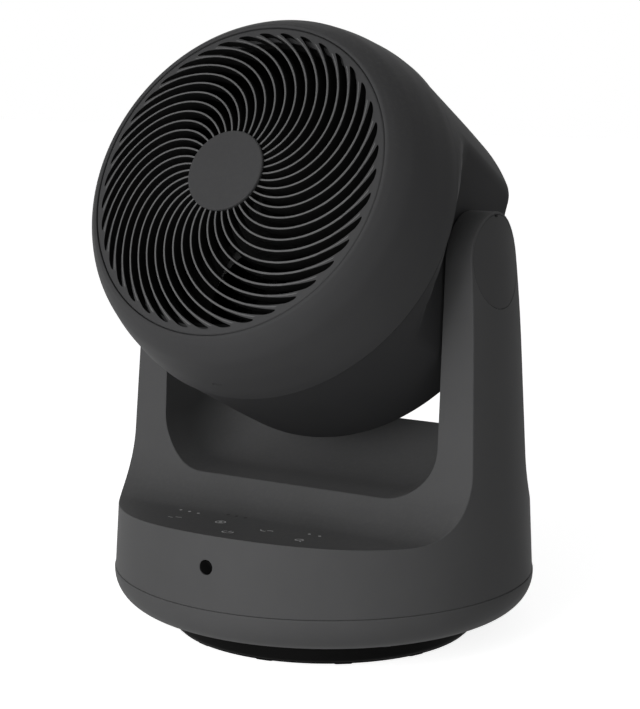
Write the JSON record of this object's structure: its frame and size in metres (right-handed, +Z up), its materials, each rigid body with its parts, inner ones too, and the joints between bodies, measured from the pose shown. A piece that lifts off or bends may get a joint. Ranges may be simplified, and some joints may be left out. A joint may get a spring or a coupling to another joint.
{
  "type": "air circulator fan",
  "caption": "Table-top air circulator: a tilting drum head with a spiral front grille, held between the two arms of a round swivelling base with a scooped control deck.",
  "frame": {"origin": "On the floor under the middle of the round foot, on the swivel axis.", "axes": "+Z is up, along the swivel axis. The front, with the controls and the air outlet, faces -Y. The tilt axis lies along X."},
  "size_m": [0.2378, 0.2531, 0.3393],
  "materials": {
    "shell": "fine matte texture, dark grey",
    "rear_housing": "fine matte texture, darker grey",
    "grille": "satin, dark grey",
    "black_plastic": "matte, black",
    "rubber": "matte, black",
    "lens": "glossy, infrared-clear black",
    "fan_plastic": "satin, near black",
    "nylon": "natural, off-white",
    "steel": "plain",
    "board": "solder mask, green"
  },
  "bodies": {
    "foot": {"swivel_foot": "black_plastic", "foot_tread": "rubber", "slide_ring": "nylon", "swivel_gear": "nylon", "spindle_screw": "steel"},
    "base": {"lower_shell": "shell", "upper_shell": "shell", "pivot_cap_left": "shell", "pivot_cap_right": "shell", "shell_screw_1": "steel", "shell_screw_2": "steel", "shell_screw_3": "steel", "shell_screw_4": "steel", "control_board": "board", "ir_receiver": "black_plastic", "ir_window": "lens", "dc_inlet": "black_plastic", "power_board": "board", "swivel_motor": "steel", "swivel_motor_screw_1": "steel", "swivel_motor_screw_2": "steel", "tilt_motor": "steel", "tilt_motor_screw_1": "steel", "tilt_motor_screw_2": "steel", "pivot_bushing_left": "nylon", "pivot_bushing_right": "nylon"},
    "swivel_drive": {"swivel_pinion": "nylon"},
    "tilt_drive": {"tilt_pinion": "nylon"},
    "head": {"front_shell": "shell", "rear_shell": "rear_housing", "front_grille": "grille", "hub_disc": "shell", "rear_grille": "black_plastic", "head_screw_1": "steel", "head_screw_2": "steel", "head_screw_3": "steel", "head_screw_4": "steel", "air_tunnel": "black_plastic", "motor_body": "steel", "motor_screw_1": "steel", "motor_screw_2": "steel", "motor_screw_3": "steel", "trunnion_left": "black_plastic", "trunnion_right": "black_plastic", "trunnion_collar": "nylon", "tilt_gear": "nylon", "pivot_screw_left": "steel", "pivot_screw_right": "steel"},
    "fan_rotor": {"impeller": "fan_plastic", "motor_shaft": "steel", "spinner_nut": "fan_plastic"}
  },
  "joints": [
    {"name": "swivel", "type": "hinge", "parent": "foot", "child": "base", "pos_m": [0, 0, 0], "axis": [0, 0, 1], "range_deg": [-45, 45]},
    {"name": "swivel_pinion_spin", "type": "hinge", "parent": "base", "child": "swivel_drive", "pos_m": [0, 0.03315, 0.027], "axis": [0, 0, 1], "range_deg": [-130, 130]},
    {"name": "head_tilt", "type": "hinge", "parent": "base", "child": "head", "pos_m": [0, 0, 0.2128], "axis": [-1, 0, 0], "range_deg": [-24, 64]},
    {"name": "tilt_pinion_spin", "type": "hinge", "parent": "base", "child": "tilt_drive", "pos_m": [0.095, 0, 0.18965], "axis": [-1, 0, 0], "range_deg": [-160, 80]},
    {"name": "impeller_spin", "type": "hinge", "parent": "head", "child": "fan_rotor", "pos_m": [0, 0, 0.2128], "axis": [0, -0.898, 0.4399], "continuous": true}
  ],
  "couplings": [
    {"joint": "swivel_pinion_spin", "follows": "swivel", "ratio": 2.6667},
    {"joint": "tilt_pinion_spin", "follows": "head_tilt", "ratio": -2.2857}
  ]
}
